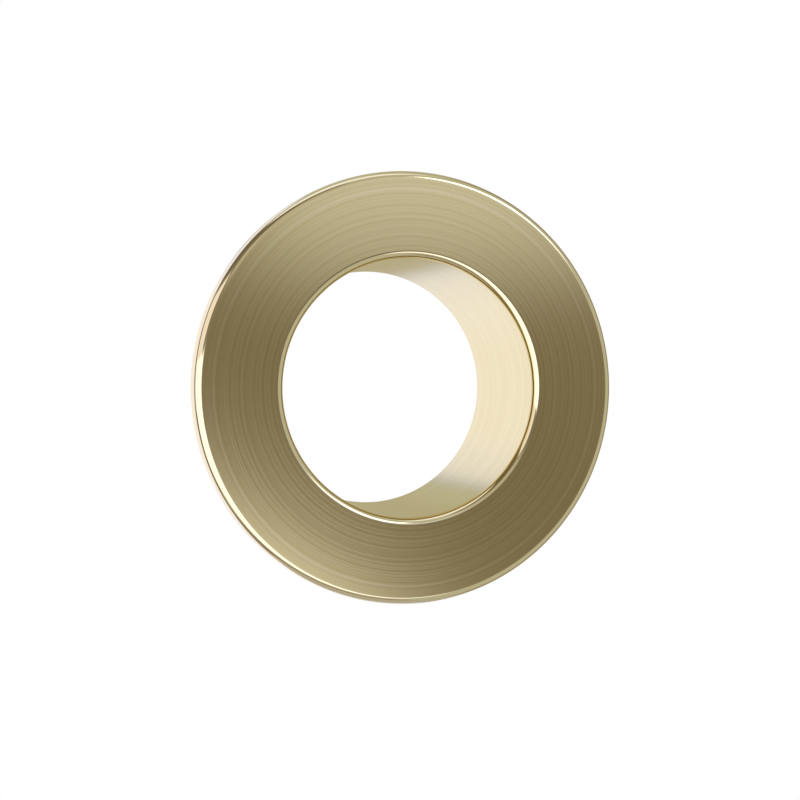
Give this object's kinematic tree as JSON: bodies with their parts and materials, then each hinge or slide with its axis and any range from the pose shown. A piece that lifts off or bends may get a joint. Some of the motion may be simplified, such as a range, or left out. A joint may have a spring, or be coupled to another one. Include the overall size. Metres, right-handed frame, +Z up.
{
  "type": "basin overflow cover",
  "caption": "Round basin overflow cover: a flat brushed-brass ring flange with rounded edges on a plain sleeve, and a rubber O-ring that grips the overflow hole.",
  "frame": {"origin": "centre of the bore in the plane of the seat, where the back of the flange meets the basin", "axes": "Y along the bore, with -Y out of the visible face and +Y along the sleeve into the basin; +Z up and +X to the right as seen from the front"},
  "size_m": [0.03, 0.0123, 0.03],
  "materials": {
    "brushed_brass": "circular-brushed pale brass with polished edges",
    "black_rubber": "moulded matte rubber"
  },
  "bodies": {
    "root": {"cover_ring": "brushed_brass", "o_ring": "black_rubber"}
  },
  "joints": []
}
